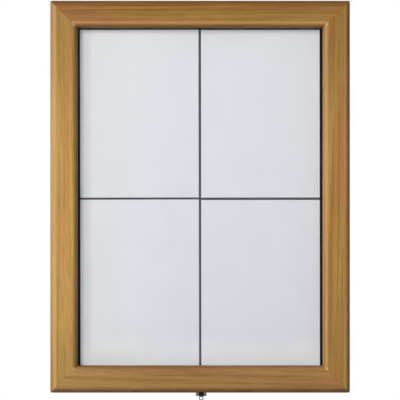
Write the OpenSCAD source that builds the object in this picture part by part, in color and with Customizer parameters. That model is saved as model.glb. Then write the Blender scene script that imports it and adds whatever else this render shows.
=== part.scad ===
// Wall-hung display case for four sheets of paper, behind a top-hung wooden door with a lock.
// Millimetres. +X is to the right seen from the front, +Z up, and the front faces -Y.
// The origin is on the wall, in the middle of the case's back.

/* [Displayed sheets] */
// Width of one sheet of paper
sheet_width = 210; // [190:1:240]
// Height of one sheet of paper
sheet_height = 297; // [270:1:340]
// Gap left between neighbouring sheets
sheet_gap = 4; // [3:0.5:12]
// Thickness of one sheet
sheet_thickness = 0.25; // [0.2:0.05:0.5]
// Dark board that shows beside the sheets, left and right
side_margin = 3; // [0:0.5:10]
// How far the door covers the sheets, above and below
sheet_cover = 3; // [0:0.5:6]
// How far the sheets hang below the middle of the case
sheet_drop = 3.4; // [0:0.2:5]

/* [Door] */
// Face width of the wooden moulding
moulding_width = 47.5; // [46:0.5:70]
// Thickness of the wooden moulding
moulding_thickness = 26; // [25:0.5:34]
// Radius of the moulding's outer edge
outer_edge_radius = 9; // [3:0.5:10]
// Radius of the moulding's inner edge
inner_edge_radius = 11; // [4:0.5:14]
// Radius of the door's outer corners
door_corner_radius = 4.5; // [1:0.5:9]
// Thickness of the clear pane
pane_thickness = 3; // [2:0.5:4]
// How far the door opens, in degrees
door_opening = 80; // [60:1:85]

/* [Case] */
// Depth of the case's boards
case_depth = 22; // [21:0.5:60]
// Thickness of the case's boards
case_thickness = 18; // [17:0.5:24]
// How far the door stands out beyond the case, all round
case_inset = 4; // [4:0.5:8]
// Gap between door and case, filled by the seal
seal_gap = 2; // [2:0.1:3]
// Thickness of the back panel
back_thickness = 4; // [3:0.5:6]
// Width of the free channel between display board and case
channel_width = 16.5; // [16:0.5:30]
// Thickness of the display board
board_thickness = 1; // [0.6:0.1:2]

/* [Hardware] */
// Distance from the door's side to the middle of the nearest hinge
hinge_inset = 112.5; // [90:0.5:150]
// Length of one hinge
hinge_length = 60; // [40:1:90]
// Diameter of the hinge pins
pin_diameter = 2.5; // [2:0.1:2.8]
// Diameter of the stay's rod
rod_diameter = 5; // [4:0.1:6]
// Diameter of the lock's flange
flange_diameter = 19; // [18:0.5:22]
// Height of the lock's flange below the door
flange_height = 6; // [3:0.5:10]
// Diameter of the lock's plug
plug_diameter = 11; // [10:0.5:12]
// Diameter of the holes for the wall screws
wall_hole_diameter = 6; // [4:0.5:7]

/* [Hidden] */
$fn = 48;

// The four sides of door and case, as turns about Y of the side at the top
top_side = 0;
right_side = 90;
bottom_side = 180;
left_side = 270;
every_side = [top_side, right_side, bottom_side, left_side];

// Fits
running_clearance = 0.06;
screw_clearance = 0.05;
loose_clearance = 0.4;
cut_past = 1;

// Sizes of window, door and case
window_width = 2 * sheet_width + sheet_gap + 2 * side_margin;
window_height = 2 * sheet_height + sheet_gap - 2 * sheet_cover;
door_width = window_width + 2 * moulding_width;
door_height = window_height + 2 * moulding_width;
case_width = door_width - 2 * case_inset;
case_height = door_height - 2 * case_inset;
inner_width = case_width - 2 * case_thickness;
inner_height = case_height - 2 * case_thickness;

// Planes along Y, from the wall forward
back_front = -back_thickness;
board_front = back_front - board_thickness;
sheet_front = board_front - sheet_thickness;
case_front = -case_depth;
door_back = case_front - seal_gap;
door_front = door_back - moulding_thickness;

// The rebate that holds gasket, pane and beads
rebate_depth = 10;
lip_thickness = 16;
gasket_thickness = 1;
pane_play = 1;
bead_width = 9;
rebate_floor = door_front + lip_thickness;
pane_front = rebate_floor + gasket_thickness;
pane_back = pane_front + pane_thickness;

// Case details
case_rebate_width = 10;
end_channel_width = channel_width - 3;
board_width = inner_width - 2 * channel_width;
board_height = inner_height - 2 * end_channel_width;
wall_hole_side_inset = 8;
wall_hole_end_inset = 21.5;
wall_hole_x = inner_width / 2 - wall_hole_side_inset;
wall_hole_z = inner_height / 2 - wall_hole_end_inset;
seal_width = 5;
seal_setback = 0.3;

// Countersunk wood screws
screw_radius = 1.5;
screw_point_length = 2;
screw_point_radius = 0.3;
screw_head_radius = 2.9;
screw_head_height = 1.4;
recess_length = 3;
recess_width = 0.7;
recess_depth = 0.9;

// Hinges
knuckle_wall = 1.25;
knuckle_radius = pin_diameter / 2 + knuckle_wall;
hinge_spacing = door_width - 2 * hinge_inset;
leaf_thickness = seal_gap * 0.6;
hinge_y = door_back + knuckle_radius;
hinge_z = door_height / 2 - knuckle_radius;
leaf_reach = 12.5;
leaf_bottom = case_height / 2 - leaf_reach;
knuckle_count = 5;
knuckle_gap = 0.3;
leaf_let_in = 0.8;

// Lock, seen from below at the middle of the bottom rail
lock_x = 2;
lock_setback = 12.5;
lock_y = door_back - lock_setback;
barrel_radius = 8;
rail_bottom = -door_height / 2;
case_floor = -inner_height / 2;
cam_thickness = 2;
cam_lift = 2;
cam_bottom = case_floor + cam_lift;
cam_top = cam_bottom + cam_thickness;
barrel_top = cam_bottom - 0.5;
wood_under_pocket = 12.5;
pocket_height = 19;
pocket_bottom = rail_bottom + wood_under_pocket;
pocket_top = pocket_bottom + pocket_height;
nut_half_width = 9.5;
nut_height = 3.5;
pocket_play = 0.5;
pocket_front = lock_y - nut_half_width - pocket_play;
cam_half_width = 4;
hook_to_wall = 10;
cam_reach = -lock_y - hook_to_wall;
hook_thickness = 6;
hook_length = 12;
plug_square = 5;
blade_thickness = 2;
blade_width = 6.8;
key_turn = 45;

// Stay: the rod hangs in the right-hand channel, and its tip lies in the cradle when the door is open
stay_inset = 11.5;
stay_x = inner_width / 2 - stay_inset;
rod_radius = rod_diameter / 2;
inside_bend_radius = 3.5;
rod_bend_radius = rod_radius + inside_bend_radius;
pivot_to_panel = 6.5;
pivot_share = 0.378;
stay_pivot_y = back_front - pivot_to_panel;
stay_pivot_z = hinge_z - pivot_share * door_height;
cradle_share = 0.35;
cradle_distance = cradle_share * door_height;
cradle_floor = 1.5;
groove_play = 0.1;
groove_radius = rod_radius + groove_play;
tip_lift = cradle_floor + groove_radius - knuckle_radius;
tip_open_y = hinge_y + tip_lift * cos(door_opening) - cradle_distance * sin(door_opening);
tip_open_z = hinge_z - tip_lift * sin(door_opening) - cradle_distance * cos(door_opening);
stay_length = norm([tip_open_y - stay_pivot_y, tip_open_z - stay_pivot_z]);
tip_play = 1.5;
tip_end = inner_width / 2 - tip_play;
rod_end_depth = 9;
echo(stay_swing = atan2(stay_pivot_y - tip_open_y, stay_pivot_z - tip_open_z));

function side_length(side, width, height) = side == top_side || side == bottom_side ? width : height;
function side_reach(side, width, height) = side_length(side, height, width) / 2;
function is_upright(side) = side == left_side || side == right_side;

// Colours
module wood_colour() { color([0.68, 0.48, 0.27]) children(); }
module steel_colour() { color([0.72, 0.73, 0.75]) children(); }
module dark_colour() { color([0.16, 0.17, 0.18]) children(); }

// Helpers for the wooden members, which all run round the window in the same way
module box_between(low, high) {
  translate(low)
    cube(high - low);
}

// Turns a 2D shape drawn in X and Z into a slab between two planes along Y
module slab(front, back) {
  translate([0, back, 0])
    rotate([90, 0, 0])
      linear_extrude(back - front)
        children();
}

// Places a section (x: distance in from the outer edge, y: depth) along one side, with mitred ends
module mitred_member(side, width, height, member_width, front, back) {
  length = side_length(side, width, height);
  reach = side_reach(side, width, height);
  rotate([0, side, 0])
    intersection() {
      translate([-length / 2, 0, reach])
        rotate([0, 90, 0])
          linear_extrude(length)
            children();
      slab(front - cut_past, back + cut_past)
        polygon([
          [-length / 2, reach],
          [length / 2, reach],
          [length / 2 - member_width, reach - member_width],
          [-length / 2 + member_width, reach - member_width]
        ]);
    }
}

// Puts its children along one side, at a distance in from the outer edge, evenly spread between its ends
module spread_along(side, width, height, count, end_distance, inward) {
  reach = side_reach(side, width, height);
  step = (side_length(side, width, height) - 2 * end_distance) / (count - 1);
  rotate([0, side, 0])
    for (index = [0 : count - 1])
      translate([(index - (count - 1) / 2) * step, 0, reach - inward])
        children();
}

module at_four_corners(x, z) {
  for (across = [-1, 1])
    for (up = [-1, 1])
      translate([across * x, 0, up * z])
        children();
}

module rounded_rectangle(width, height, radius) {
  square([width - 2 * radius, height], center = true);
  square([width, height - 2 * radius], center = true);
  for (across = [-1, 1])
    for (up = [-1, 1])
      translate([across * (width / 2 - radius), up * (height / 2 - radius)])
        circle(radius);
}

// Screws stand head up: the top of the head at z = 0 and the shank going down
module cross_recess() {
  for (turn = [0, 90])
    rotate([0, 0, turn])
      translate([-recess_length / 2, -recess_width / 2, -recess_depth])
        cube([recess_length, recess_width, recess_depth + cut_past]);
}

module wood_screw(length) {
  steel_colour()
    difference() {
      union() {
        translate([0, 0, -screw_head_height])
          cylinder(r1 = screw_radius, r2 = screw_head_radius, h = screw_head_height);
        translate([0, 0, -length + screw_point_length])
          cylinder(r = screw_radius, h = length - screw_point_length - screw_head_height / 2);
        translate([0, 0, -length])
          cylinder(r1 = screw_point_radius, r2 = screw_radius, h = screw_point_length);
      }
      cross_recess();
    }
}

module screw_hole(length) {
  translate([0, 0, -length - screw_clearance])
    cylinder(r = screw_radius + screw_clearance, h = length + cut_past);
  translate([0, 0, -screw_head_height])
    cylinder(r1 = screw_radius + screw_clearance, r2 = screw_head_radius + screw_clearance, h = screw_head_height);
  translate([0, 0, -0.001])
    cylinder(r = screw_head_radius + screw_clearance, h = cut_past);
}

module pan_screw(length, head_radius) {
  head_height = 1.6;
  head_slope = 0.8;
  steel_colour()
    difference() {
      union() {
        cylinder(r1 = head_radius, r2 = head_radius - head_slope, h = head_height);
        translate([0, 0, -length])
          cylinder(r = screw_radius, h = length + head_height / 2);
      }
      translate([0, 0, head_height])
        cross_recess();
    }
}

module pan_screw_hole(length) {
  translate([0, 0, -length - screw_clearance])
    cylinder(r = screw_radius + screw_clearance, h = length + cut_past);
}

// Turns that send the shank of a screw backward, forward, or outward on the side at the top
module shank_backward() { rotate([90, 0, 0]) children(); }
module shank_forward() { rotate([-90, 0, 0]) children(); }
module shank_outward() { rotate([180, 0, 0]) children(); }

// Case: four mitred boards with a rebate at the back for the panel
module case_section() {
  difference() {
    translate([0, case_front])
      square([case_thickness, case_depth]);
    translate([case_thickness - case_rebate_width, back_front])
      square([case_rebate_width + cut_past, back_thickness + cut_past]);
  }
}

module case_board(side) {
  wood_colour()
    difference() {
      mitred_member(side, case_width, case_height, case_thickness, case_front, 0)
        case_section();
      at_back_panel_screws(side)
        screw_hole(back_panel_screw_length);
      at_corner_angle_screws()
        screw_hole(corner_angle_screw_length);
      if (side == top_side) {
        hinge_room();
        at_hinge_case_screws()
          screw_hole(hinge_screw_length);
      }
      if (side == bottom_side)
        at_lock_keeper_screws()
          screw_hole(keeper_screw_length);
      if (side == right_side)
        stay_bracket_room();
    }
}

module case_top_board() { case_board(top_side); }
module case_bottom_board() { case_board(bottom_side); }
module case_left_side() { case_board(left_side); }
module case_right_side() { case_board(right_side); }

// Corner angles: bent steel strips inside the case, a screw in each leg
angle_leg = 26;
angle_width = 12;
angle_thickness = 1.5;
angle_middle_y = back_front - 1 - angle_width / 2;
corner_angle_screw_length = 12;
angle_screw_inset = 20;

module corner_angles() {
  steel_colour()
    difference() {
      slab(angle_middle_y - angle_width / 2, angle_middle_y + angle_width / 2)
        for (across = [-1, 1])
          for (up = [-1, 1])
            translate([across * inner_width / 2, up * inner_height / 2])
              scale([-across, -up])
                difference() {
                  square(angle_leg);
                  translate([angle_thickness, angle_thickness])
                    square(angle_leg);
                }
      at_corner_angle_screws()
        screw_hole(corner_angle_screw_length);
    }
}

module at_corner_angle_screws() {
  for (side = every_side)
    for (along = [-1, 1])
      rotate([0, side, 0])
        translate([
          along * (side_length(side, inner_width, inner_height) / 2 - angle_screw_inset),
          angle_middle_y,
          side_reach(side, inner_width, inner_height) - angle_thickness
        ])
          shank_outward()
            children();
}

module corner_angle_screws() {
  at_corner_angle_screws()
    wood_screw(corner_angle_screw_length);
}

// Back panel, flush in the rebate, with the four holes for the wall screws
back_panel_screw_length = 16;
back_panel_screw_end = 60;
panel_play = 0.3;

module at_back_panel_screws(side) {
  count = is_upright(side) ? 5 : 4;
  inward = case_thickness - case_rebate_width / 2;
  spread_along(side, case_width, case_height, count, back_panel_screw_end, inward)
    shank_forward()
      children();
}

module back_panel() {
  color([0.62, 0.5, 0.36])
    difference() {
      slab(back_front, 0)
        square([
          inner_width + 2 * (case_rebate_width - panel_play),
          inner_height + 2 * (case_rebate_width - panel_play)
        ], center = true);
      for (side = every_side)
        at_back_panel_screws(side)
          screw_hole(back_panel_screw_length);
      at_display_board_screws()
        pan_screw_hole(display_board_screw_length);
      at_stay_clip_screw()
        pan_screw_hole(stay_clip_screw_length);
      at_four_corners(wall_hole_x, wall_hole_z)
        rotate([90, 0, 0])
          cylinder(d = wall_hole_diameter, h = 4 * back_thickness, center = true);
    }
}

module back_panel_screws() {
  for (side = every_side)
    at_back_panel_screws(side)
      wood_screw(back_panel_screw_length);
}

// Display board: a dark steel sheet screwed to the back panel beside the sheets
display_board_screw_length = 4;
display_board_screw_end = 43;
board_screw_head_radius = 2.6;
board_screw_inset = 3.4;
board_corner_radius = 3;

module at_display_board_screws() {
  for (side = [left_side, right_side])
    spread_along(side, board_width, board_height, 3, display_board_screw_end, board_screw_inset)
      translate([0, board_front, 0])
        shank_backward()
          children();
}

module display_board() {
  dark_colour()
    difference() {
      slab(board_front, back_front)
        rounded_rectangle(board_width, board_height, board_corner_radius);
      at_display_board_screws()
        pan_screw_hole(display_board_screw_length);
    }
}

module display_board_screws() {
  at_display_board_screws()
    pan_screw(display_board_screw_length, board_screw_head_radius);
}

// Sheets of paper, each put up by hand and so a little off its place
hand_nudge = 0.6;
hand_tilt = 0.12;

module sheet(across, up, nudge_x, nudge_z, tilt) {
  color([0.93, 0.94, 0.95])
    translate([
      across * (sheet_width + sheet_gap) / 2 + nudge_x,
      0,
      up * (sheet_height + sheet_gap) / 2 - sheet_drop + nudge_z
    ])
      rotate([0, tilt, 0])
        slab(sheet_front, board_front)
          square([sheet_width, sheet_height], center = true);
}

module sheet_upper_left() { sheet(-1, 1, -hand_nudge, 0, -hand_tilt); }
module sheet_upper_right() { sheet(1, 1, -hand_nudge / 2, 0, -hand_tilt / 2); }
module sheet_lower_left() { sheet(-1, -1, 0, hand_nudge / 2, -hand_tilt); }
module sheet_lower_right() { sheet(1, -1, 0, -hand_nudge / 2, -hand_tilt / 2); }

// Seal: four strips of foam tape on the case's front, butted at the corners
module door_seal() {
  dark_colour()
    for (side = every_side) {
      length = side_length(side, inner_width, inner_height) + (is_upright(side) ? 2 * seal_width : 0);
      reach = side_reach(side, inner_width, inner_height);
      rotate([0, side, 0])
        translate([-length / 2, door_back, reach + seal_setback])
          cube([length, seal_gap, seal_width - seal_setback]);
    }
}

// Hinges: pinned knuckles behind the door's top edge, leaves in the gap between door and case
hinge_screw_length = 13;
hinge_leaf_screw_z = (leaf_bottom + case_height / 2) / 2 - 1;

module at_hinge(across) {
  translate([across * hinge_spacing / 2, hinge_y, hinge_z])
    children();
}

module knuckle(index) {
  pitch = hinge_length / knuckle_count;
  translate([-hinge_length / 2 + index * pitch + knuckle_gap / 2, 0, 0])
    rotate([0, 90, 0])
      cylinder(r = knuckle_radius, h = pitch - knuckle_gap);
}

module knuckle_room(index) {
  pitch = hinge_length / knuckle_count;
  translate([-hinge_length / 2 + index * pitch - knuckle_gap / 2, 0, 0])
    rotate([0, 90, 0])
      cylinder(r = knuckle_radius + loose_clearance, h = pitch + knuckle_gap);
}

module pin_bore() {
  rotate([0, 90, 0])
    cylinder(r = pin_diameter / 2 + running_clearance, h = 2 * hinge_length, center = true);
}

// One leaf, from its front plane backward, holding the knuckles that start at first_knuckle
module hinge_leaf(across, leaf_front, first_knuckle) {
  other_knuckle = 1 - first_knuckle;
  own_last = knuckle_count - 1 - first_knuckle;
  other_last = knuckle_count - 1 - other_knuckle;
  difference() {
    union() {
      at_hinge(across)
        for (index = [first_knuckle : 2 : own_last])
          knuckle(index);
      difference() {
        translate([across * hinge_spacing / 2 - (hinge_length - knuckle_gap) / 2, leaf_front, leaf_bottom])
          cube([hinge_length - knuckle_gap, leaf_thickness, hinge_z - leaf_bottom]);
        at_hinge(across)
          for (index = [other_knuckle : 2 : other_last])
            knuckle_room(index);
      }
    }
    at_hinge(across)
      pin_bore();
  }
}

case_leaf_front = case_front + leaf_let_in - leaf_thickness;

module case_leaf(across) {
  steel_colour()
    difference() {
      hinge_leaf(across, case_leaf_front, 0);
      at_hinge_case_screws()
        screw_hole(hinge_screw_length);
    }
}

module door_leaf(across) {
  steel_colour()
    difference() {
      hinge_leaf(across, door_back, 1);
      at_hinge_door_screws()
        screw_hole(hinge_screw_length);
    }
}

module hinge_left_case_leaf() { case_leaf(-1); }
module hinge_right_case_leaf() { case_leaf(1); }
module hinge_left_door_leaf() { door_leaf(-1); }
module hinge_right_door_leaf() { door_leaf(1); }

module at_hinge_screw_places(shares) {
  for (across = [-1, 1])
    for (share = shares)
      translate([across * hinge_spacing / 2 + share * hinge_length, 0, hinge_leaf_screw_z])
        children();
}

module at_hinge_case_screws() {
  at_hinge_screw_places([-0.4, 0, 0.4])
    translate([0, case_leaf_front, 0])
      shank_backward()
        children();
}

module at_hinge_door_screws() {
  at_hinge_screw_places([-0.2, 0.2])
    translate([0, door_back + leaf_thickness, 0])
      shank_forward()
        children();
}

module hinge_case_screws() {
  at_hinge_case_screws()
    wood_screw(hinge_screw_length);
}

module hinge_door_screws() {
  at_hinge_door_screws()
    wood_screw(hinge_screw_length);
}

module hinge_pin(across) {
  head_height = 1;
  head_radius = knuckle_radius - 0.6;
  steel_colour()
    at_hinge(across)
      rotate([0, 90, 0]) {
        cylinder(d = pin_diameter, h = hinge_length, center = true);
        for (end = [-1, 1])
          translate([0, 0, end * (hinge_length / 2 - knuckle_gap / 2 + head_height / 2)])
            cylinder(r = head_radius, h = head_height, center = true);
      }
}

module hinge_left_pin() { hinge_pin(-1); }
module hinge_right_pin() { hinge_pin(1); }

// Room in the top board for the leaves and the turning knuckles
module hinge_room() {
  end_play = 1.5;
  for (across = [-1, 1]) {
    translate([across * hinge_spacing / 2 - hinge_length / 2, case_leaf_front, leaf_bottom])
      cube([hinge_length, leaf_thickness, hinge_z - leaf_bottom]);
    at_hinge(across)
      rotate([0, 90, 0])
        cylinder(r = knuckle_radius + loose_clearance, h = hinge_length + 2 * end_play, center = true);
  }
}

// Door: four mitred lengths of moulding with a rebate at the back
module moulding_section() {
  difference() {
    translate([0, door_front])
      square([moulding_width, moulding_thickness]);
    translate([-cut_past, door_front - cut_past])
      difference() {
        square(outer_edge_radius + cut_past);
        translate([outer_edge_radius + cut_past, outer_edge_radius + cut_past])
          circle(outer_edge_radius);
      }
    translate([moulding_width - inner_edge_radius, door_front - cut_past])
      difference() {
        square(inner_edge_radius + cut_past);
        translate([0, inner_edge_radius + cut_past])
          circle(inner_edge_radius);
      }
    translate([moulding_width - rebate_depth, rebate_floor])
      square([rebate_depth + cut_past, moulding_thickness]);
  }
}

module door_member(side) {
  wood_colour()
    difference() {
      intersection() {
        mitred_member(side, door_width, door_height, moulding_width, door_front, door_back)
          moulding_section();
        slab(door_front - cut_past, door_back + cut_past)
          rounded_rectangle(door_width, door_height, door_corner_radius);
      }
      corner_plate_room();
      at_corner_plate_screws()
        screw_hole(corner_plate_screw_length);
      at_glazing_bead_screws(side)
        screw_hole(bead_screw_length);
      if (side == top_side)
        at_hinge_door_screws()
          screw_hole(hinge_screw_length);
      if (side == bottom_side)
        lock_room();
      if (side == right_side)
        at_stay_cradle_screws()
          screw_hole(cradle_screw_length);
    }
}

module door_top_rail() { door_member(top_side); }
module door_bottom_rail() { door_member(bottom_side); }
module door_left_stile() { door_member(left_side); }
module door_right_stile() { door_member(right_side); }

// Corner plates: flat steel let into the back of the mitres
plate_inset = 10;
plate_arm = 40;
plate_width = 14;
plate_thickness = 1.5;
plate_play = 0.1;
corner_plate_screw_length = 13;

module corner_plate_shapes(play) {
  for (across = [-1, 1])
    for (up = [-1, 1])
      translate([across * (door_width / 2 - plate_inset), up * (door_height / 2 - plate_inset)])
        scale([-across, -up])
          translate([-play, -play]) {
            square([plate_arm + 2 * play, plate_width + 2 * play]);
            square([plate_width + 2 * play, plate_arm + 2 * play]);
          }
}

module corner_plate_room() {
  slab(door_back - plate_thickness, door_back + cut_past)
    corner_plate_shapes(plate_play);
}

module at_corner_plate_screws() {
  for (along = [[0.45, 0], [0.85, 0], [0, 0.45], [0, 0.85]])
    at_four_corners(
      door_width / 2 - plate_inset - (along[0] > 0 ? along[0] * plate_arm : plate_width / 2),
      door_height / 2 - plate_inset - (along[1] > 0 ? along[1] * plate_arm : plate_width / 2)
    )
      translate([0, door_back, 0])
        shank_forward()
          children();
}

module corner_plates() {
  steel_colour()
    difference() {
      slab(door_back - plate_thickness, door_back)
        corner_plate_shapes(0);
      at_corner_plate_screws()
        screw_hole(corner_plate_screw_length);
    }
}

module corner_plate_screws() {
  at_corner_plate_screws()
    wood_screw(corner_plate_screw_length);
}

// Pane, gasket strips in front of it and glazing beads behind it
pane_width = window_width + 2 * (rebate_depth - pane_play);
pane_height = window_height + 2 * (rebate_depth - pane_play);
gasket_width = 8;
butt_gap = 0.2;
bead_screw_length = 14;
bead_screw_end = 40;

module clear_pane() {
  color([0.8, 0.9, 0.95, 0.3])
    slab(pane_front, pane_back)
      square([pane_width, pane_height], center = true);
}

module pane_gasket() {
  dark_colour()
    for (side = every_side) {
      length = side_length(side, pane_width, pane_height) - (is_upright(side) ? 0 : 2 * (gasket_width + butt_gap));
      reach = side_reach(side, pane_width, pane_height);
      rotate([0, side, 0])
        translate([-length / 2, rebate_floor, reach - gasket_width])
          cube([length, gasket_thickness, gasket_width]);
    }
}

module glazing_bead(side) {
  bead_cove_radius = 1.5;
  outer_width = window_width + 2 * rebate_depth;
  outer_height = window_height + 2 * rebate_depth;
  wood_colour()
    difference() {
      mitred_member(side, outer_width, outer_height, bead_width, pane_back, door_back)
        translate([0, pane_back])
          difference() {
            square([bead_width, door_back - pane_back]);
            translate([bead_width, door_back - pane_back])
              circle(bead_cove_radius);
          }
      at_glazing_bead_screws(side)
        screw_hole(bead_screw_length);
    }
}

module glazing_bead_top() { glazing_bead(top_side); }
module glazing_bead_bottom() { glazing_bead(bottom_side); }
module glazing_bead_left() { glazing_bead(left_side); }
module glazing_bead_right() { glazing_bead(right_side); }

module at_glazing_bead_screws(side) {
  count = is_upright(side) ? 5 : 4;
  spread_along(side, window_width, window_height, count, bead_screw_end, bead_width - rebate_depth)
    translate([0, (pane_back + door_back) / 2, 0])
      shank_outward()
        children();
}

module glazing_bead_screws() {
  for (side = every_side)
    at_glazing_bead_screws(side)
      wood_screw(bead_screw_length);
}

// Lock: a barrel through the bottom rail, clamped by a nut in a pocket that opens to the back
module at_lock(z) {
  translate([lock_x, lock_y, z])
    children();
}

module lock_room() {
  barrel_hole_play = 0.3;
  cam_room = 4;
  nut_room = 5;
  at_lock(rail_bottom - cut_past)
    cylinder(r = barrel_radius + barrel_hole_play, h = pocket_bottom - rail_bottom + 2 * cut_past);
  box_between(
    [lock_x - cam_reach - cam_room, pocket_front, pocket_bottom],
    [lock_x + barrel_radius + nut_room, door_back + cut_past, pocket_top]
  );
}

module lock_barrel() {
  flange_radius = flange_diameter / 2;
  edge = 1;
  color([0.85, 0.86, 0.88])
    at_lock(0)
      difference() {
        union() {
          translate([0, 0, rail_bottom - flange_height + edge])
            cylinder(r = flange_radius, h = flange_height - edge);
          translate([0, 0, rail_bottom - flange_height])
            cylinder(r1 = flange_radius - edge, r2 = flange_radius, h = edge);
          translate([0, 0, rail_bottom - 0.5])
            cylinder(r = barrel_radius, h = barrel_top - rail_bottom + 0.5);
        }
        translate([0, 0, rail_bottom - flange_height - cut_past])
          cylinder(d = plug_diameter + 2 * running_clearance, h = inner_height);
      }
}

module lock_nut() {
  nut_sides = 6;
  steel_colour()
    at_lock(pocket_bottom)
      difference() {
        cylinder(r = nut_half_width / cos(180 / nut_sides), h = nut_height, $fn = nut_sides);
        translate([0, 0, -cut_past])
          cylinder(r = barrel_radius + screw_clearance, h = nut_height + 2 * cut_past);
      }
}

module lock_plug() {
  plug_setback = 0.4;
  keyway_width = blade_thickness + 0.2;
  keyway_height = blade_width + 0.6;
  plug_bottom = rail_bottom - flange_height + plug_setback;
  color([0.8, 0.81, 0.83])
    at_lock(0)
      difference() {
        union() {
          translate([0, 0, plug_bottom])
            cylinder(d = plug_diameter, h = cam_bottom - plug_bottom);
          translate([-plug_square / 2, -plug_square / 2, cam_bottom - 1])
            cube([plug_square, plug_square, 1 + cam_thickness]);
        }
        rotate([0, 0, key_turn])
          translate([-keyway_width / 2, -keyway_height / 2, plug_bottom - cut_past])
            cube([keyway_width, keyway_height, blade_length + 2]);
        translate([0, 0, cam_top - cam_screw_length - screw_clearance])
          cylinder(r = screw_radius + screw_clearance, h = cam_screw_length + cut_past);
      }
}

// Hook cam, drawn unlocked: the arm lies along -X in the pocket and the hook points backward
module lock_cam() {
  eye_radius = cam_half_width + 1.5;
  square_hole = plug_square + 2 * screw_clearance;
  steel_colour()
    at_lock(cam_bottom)
      difference() {
        linear_extrude(cam_thickness)
          union() {
            circle(eye_radius);
            translate([-cam_reach, -cam_half_width])
              square([cam_reach, 2 * cam_half_width]);
            translate([-cam_reach, 0])
              square([hook_thickness, hook_length]);
          }
        translate([-square_hole / 2, -square_hole / 2, -cut_past])
          cube([square_hole, square_hole, cam_thickness + 2 * cut_past]);
      }
}

cam_screw_length = 4.5;
cam_screw_head_radius = 4.2;

module lock_cam_screw() {
  at_lock(cam_top)
    pan_screw(cam_screw_length, cam_screw_head_radius);
}

// Key: a blade in the plug and a small looped bow below it
blade_length = 18;
bow_width = 10;
bow_height = 7.7;
bow_thickness = 1.6;
bow_bar = 1.5;
bow_corner_radius = 3.6;
bow_play = 0.3;

module key() {
  bow_top = rail_bottom - flange_height;
  color([0.8, 0.8, 0.82])
    at_lock(bow_top)
      rotate([0, 0, key_turn]) {
        translate([-blade_thickness / 2, -blade_width / 2, -bow_play - bow_bar / 2])
          cube([blade_thickness, blade_width, blade_length + bow_play + bow_bar / 2]);
        rotate([90, 0, 90])
          translate([0, -bow_height / 2 - bow_play, -bow_thickness / 2])
            linear_extrude(bow_thickness)
              difference() {
                rounded_rectangle(bow_width, bow_height, bow_corner_radius);
                rounded_rectangle(
                  bow_width - 2 * bow_bar,
                  bow_height - 2 * bow_bar,
                  bow_corner_radius - bow_bar
                );
              }
      }
}

// Keeper: a steel angle on the case's bottom board; the hook turns in behind its upright
keeper_left = lock_x + 4;
keeper_width = 18;
keeper_thickness = 1.5;
keeper_height = 3 + cam_lift + cam_thickness;
hook_play = 0.8;
keeper_back = lock_y + cam_reach - hook_thickness - hook_play;
keeper_foot_end = board_front - 3;
keeper_screw_length = 10;

module lock_keeper() {
  steel_colour()
    difference() {
      union() {
        box_between(
          [keeper_left, keeper_back - keeper_thickness, case_floor],
          [keeper_left + keeper_width, keeper_back, case_floor + keeper_height]
        );
        box_between(
          [keeper_left, keeper_back - keeper_thickness, case_floor],
          [keeper_left + keeper_width, keeper_foot_end, case_floor + keeper_thickness]
        );
      }
      at_lock_keeper_screws()
        screw_hole(keeper_screw_length);
    }
}

module at_lock_keeper_screws() {
  for (across = [0.24, 0.76])
    translate([
      keeper_left + across * keeper_width,
      (keeper_back + keeper_foot_end) / 2 + 0.3,
      case_floor + keeper_thickness
    ])
      children();
}

module lock_keeper_screws() {
  at_lock_keeper_screws()
    wood_screw(keeper_screw_length);
}

// Stay: a bent rod that turns in a bracket on the right-hand side of the case
bracket_height = 32;
bracket_width = 12;
bracket_thickness = 2;
bracket_screw_end = 5;
bracket_screw_length = 12;
ring_wall = 1.6;
ring_radius = rod_radius + ring_wall;
ring_thickness = 1.4;
ring_play = 0.2;

module at_stay_pivot() {
  translate([0, stay_pivot_y, stay_pivot_z])
    children();
}

module at_stay_bracket_screws() {
  for (up = [-1, 1])
    translate([
      inner_width / 2 - bracket_thickness,
      stay_pivot_y,
      stay_pivot_z + up * (bracket_height / 2 - bracket_screw_end)
    ])
      rotate([0, -90, 0])
        children();
}

module stay_bracket() {
  steel_colour()
    difference() {
      at_stay_pivot()
        translate([inner_width / 2 - bracket_thickness, -bracket_width / 2, -bracket_height / 2])
          cube([bracket_thickness, bracket_width, bracket_height]);
      at_stay_pivot()
        rotate([0, 90, 0])
          cylinder(r = rod_radius + running_clearance, h = inner_width);
      at_stay_bracket_screws()
        screw_hole(bracket_screw_length);
    }
}

module stay_bracket_screws() {
  at_stay_bracket_screws()
    wood_screw(bracket_screw_length);
}

// Room in the side board for the rod's end, its rear ring and the bracket's screws
module stay_bracket_room() {
  at_stay_pivot()
    translate([inner_width / 2 - cut_past, 0, 0])
      rotate([0, 90, 0]) {
        cylinder(r = rod_radius + loose_clearance, h = rod_end_depth + 1 + cut_past);
        cylinder(r = ring_radius + loose_clearance, h = ring_thickness + 2 * loose_clearance + cut_past);
      }
  at_stay_bracket_screws()
    screw_hole(bracket_screw_length);
}

module rod_bend(corner_z, start_angle) {
  translate([stay_x + rod_bend_radius, 0, corner_z])
    rotate([90, 0, 0])
      rotate([0, 0, start_angle])
        rotate_extrude(angle = 90)
          translate([rod_bend_radius, 0])
            circle(rod_radius);
}

module stay_rod() {
  straight_from = stay_x + rod_bend_radius;
  color([0.82, 0.83, 0.85])
    at_stay_pivot() {
      translate([stay_x, 0, -stay_length + rod_bend_radius])
        cylinder(r = rod_radius, h = stay_length - 2 * rod_bend_radius);
      rod_bend(-rod_bend_radius, 90);
      rod_bend(-stay_length + rod_bend_radius, 180);
      translate([straight_from, 0, 0])
        rotate([0, 90, 0])
          cylinder(r = rod_radius, h = inner_width / 2 + rod_end_depth - straight_from);
      translate([straight_from, 0, -stay_length])
        rotate([0, 90, 0])
          cylinder(r = rod_radius, h = tip_end - straight_from);
    }
}

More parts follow.
